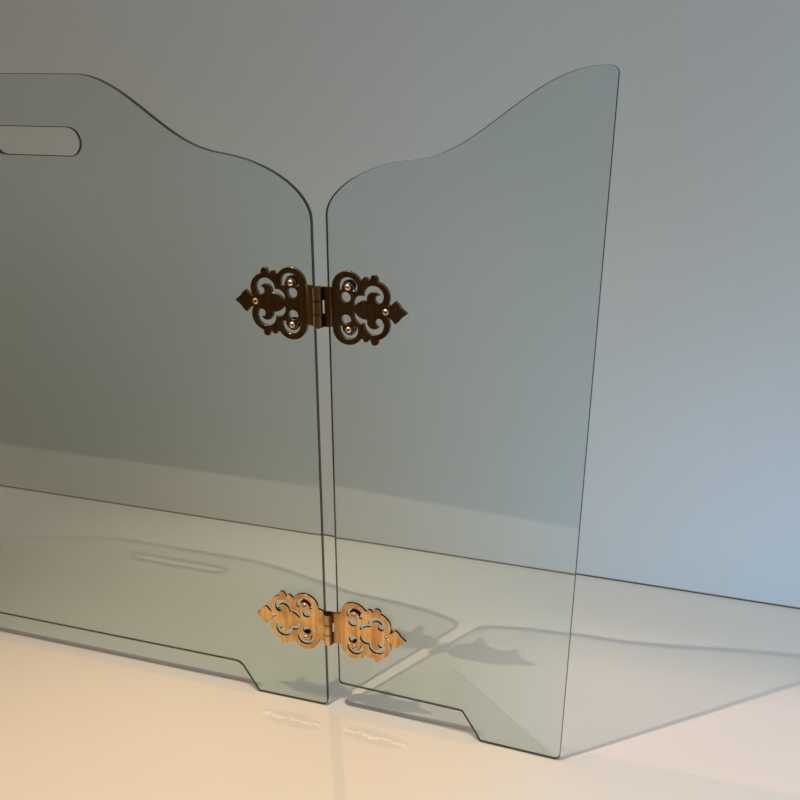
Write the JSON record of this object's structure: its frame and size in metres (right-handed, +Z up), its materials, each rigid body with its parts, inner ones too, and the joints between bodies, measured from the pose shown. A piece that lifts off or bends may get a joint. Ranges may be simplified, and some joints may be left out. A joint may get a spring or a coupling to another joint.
{
  "type": "folding glass fireplace screen",
  "caption": "Folding fireplace screen of clear glass panels with scalloped tops, a hand slot and pierced scroll hinges.",
  "frame": {"origin": "bottom centre of the standing screen's bounding box, on the floor", "axes": "+X runs along the centre panel to the right as seen from the room, +Y points from the room to the fire, +Z is up"},
  "size_m": [1.0928, 0.1898, 0.7195],
  "materials": {
    "clear_glass": "clear toughened glass with polished edges",
    "antique_brass": "brushed antique brass",
    "screw_brass": "polished brass",
    "fixing_brass": "satin brass",
    "black_rubber": "matt rubber"
  },
  "bodies": {
    "centre": {"centre_panel": "clear_glass", "left_lower_centre_leaf": "antique_brass", "left_lower_centre_screws": "screw_brass", "left_lower_centre_bushes": "black_rubber", "left_lower_centre_seals": "black_rubber", "left_lower_centre_washers": "fixing_brass", "left_lower_centre_nuts": "fixing_brass", "left_upper_centre_leaf": "antique_brass", "left_upper_centre_screws": "screw_brass", "left_upper_centre_bushes": "black_rubber", "left_upper_centre_seals": "black_rubber", "left_upper_centre_washers": "fixing_brass", "left_upper_centre_nuts": "fixing_brass", "right_lower_centre_leaf": "antique_brass", "right_lower_centre_screws": "screw_brass", "right_lower_centre_bushes": "black_rubber", "right_lower_centre_seals": "black_rubber", "right_lower_centre_washers": "fixing_brass", "right_lower_centre_nuts": "fixing_brass", "right_upper_centre_leaf": "antique_brass", "right_upper_centre_screws": "screw_brass", "right_upper_centre_bushes": "black_rubber", "right_upper_centre_seals": "black_rubber", "right_upper_centre_washers": "fixing_brass", "right_upper_centre_nuts": "fixing_brass"},
    "left_wing": {"left_wing_panel": "clear_glass", "left_lower_wing_leaf": "antique_brass", "left_lower_pin": "antique_brass", "left_lower_wing_screws": "screw_brass", "left_lower_wing_bushes": "black_rubber", "left_lower_wing_seals": "black_rubber", "left_lower_wing_washers": "fixing_brass", "left_lower_wing_nuts": "fixing_brass", "left_upper_wing_leaf": "antique_brass", "left_upper_pin": "antique_brass", "left_upper_wing_screws": "screw_brass", "left_upper_wing_bushes": "black_rubber", "left_upper_wing_seals": "black_rubber", "left_upper_wing_washers": "fixing_brass", "left_upper_wing_nuts": "fixing_brass"},
    "right_wing": {"right_wing_panel": "clear_glass", "right_lower_wing_leaf": "antique_brass", "right_lower_pin": "antique_brass", "right_lower_wing_screws": "screw_brass", "right_lower_wing_bushes": "black_rubber", "right_lower_wing_seals": "black_rubber", "right_lower_wing_washers": "fixing_brass", "right_lower_wing_nuts": "fixing_brass", "right_upper_wing_leaf": "antique_brass", "right_upper_pin": "antique_brass", "right_upper_wing_screws": "screw_brass", "right_upper_wing_bushes": "black_rubber", "right_upper_wing_seals": "black_rubber", "right_upper_wing_washers": "fixing_brass", "right_upper_wing_nuts": "fixing_brass"}
  },
  "joints": [
    {"name": "right_wing_hinge", "type": "hinge", "parent": "centre", "child": "right_wing", "pos_m": [0.27556, -0.08988, 0], "axis": [0, 0, -1], "range_deg": [-52, 168]},
    {"name": "left_wing_hinge", "type": "hinge", "parent": "centre", "child": "left_wing", "pos_m": [-0.34444, -0.08988, 0], "axis": [0, 0, 1], "range_deg": [-10, 210]}
  ]
}
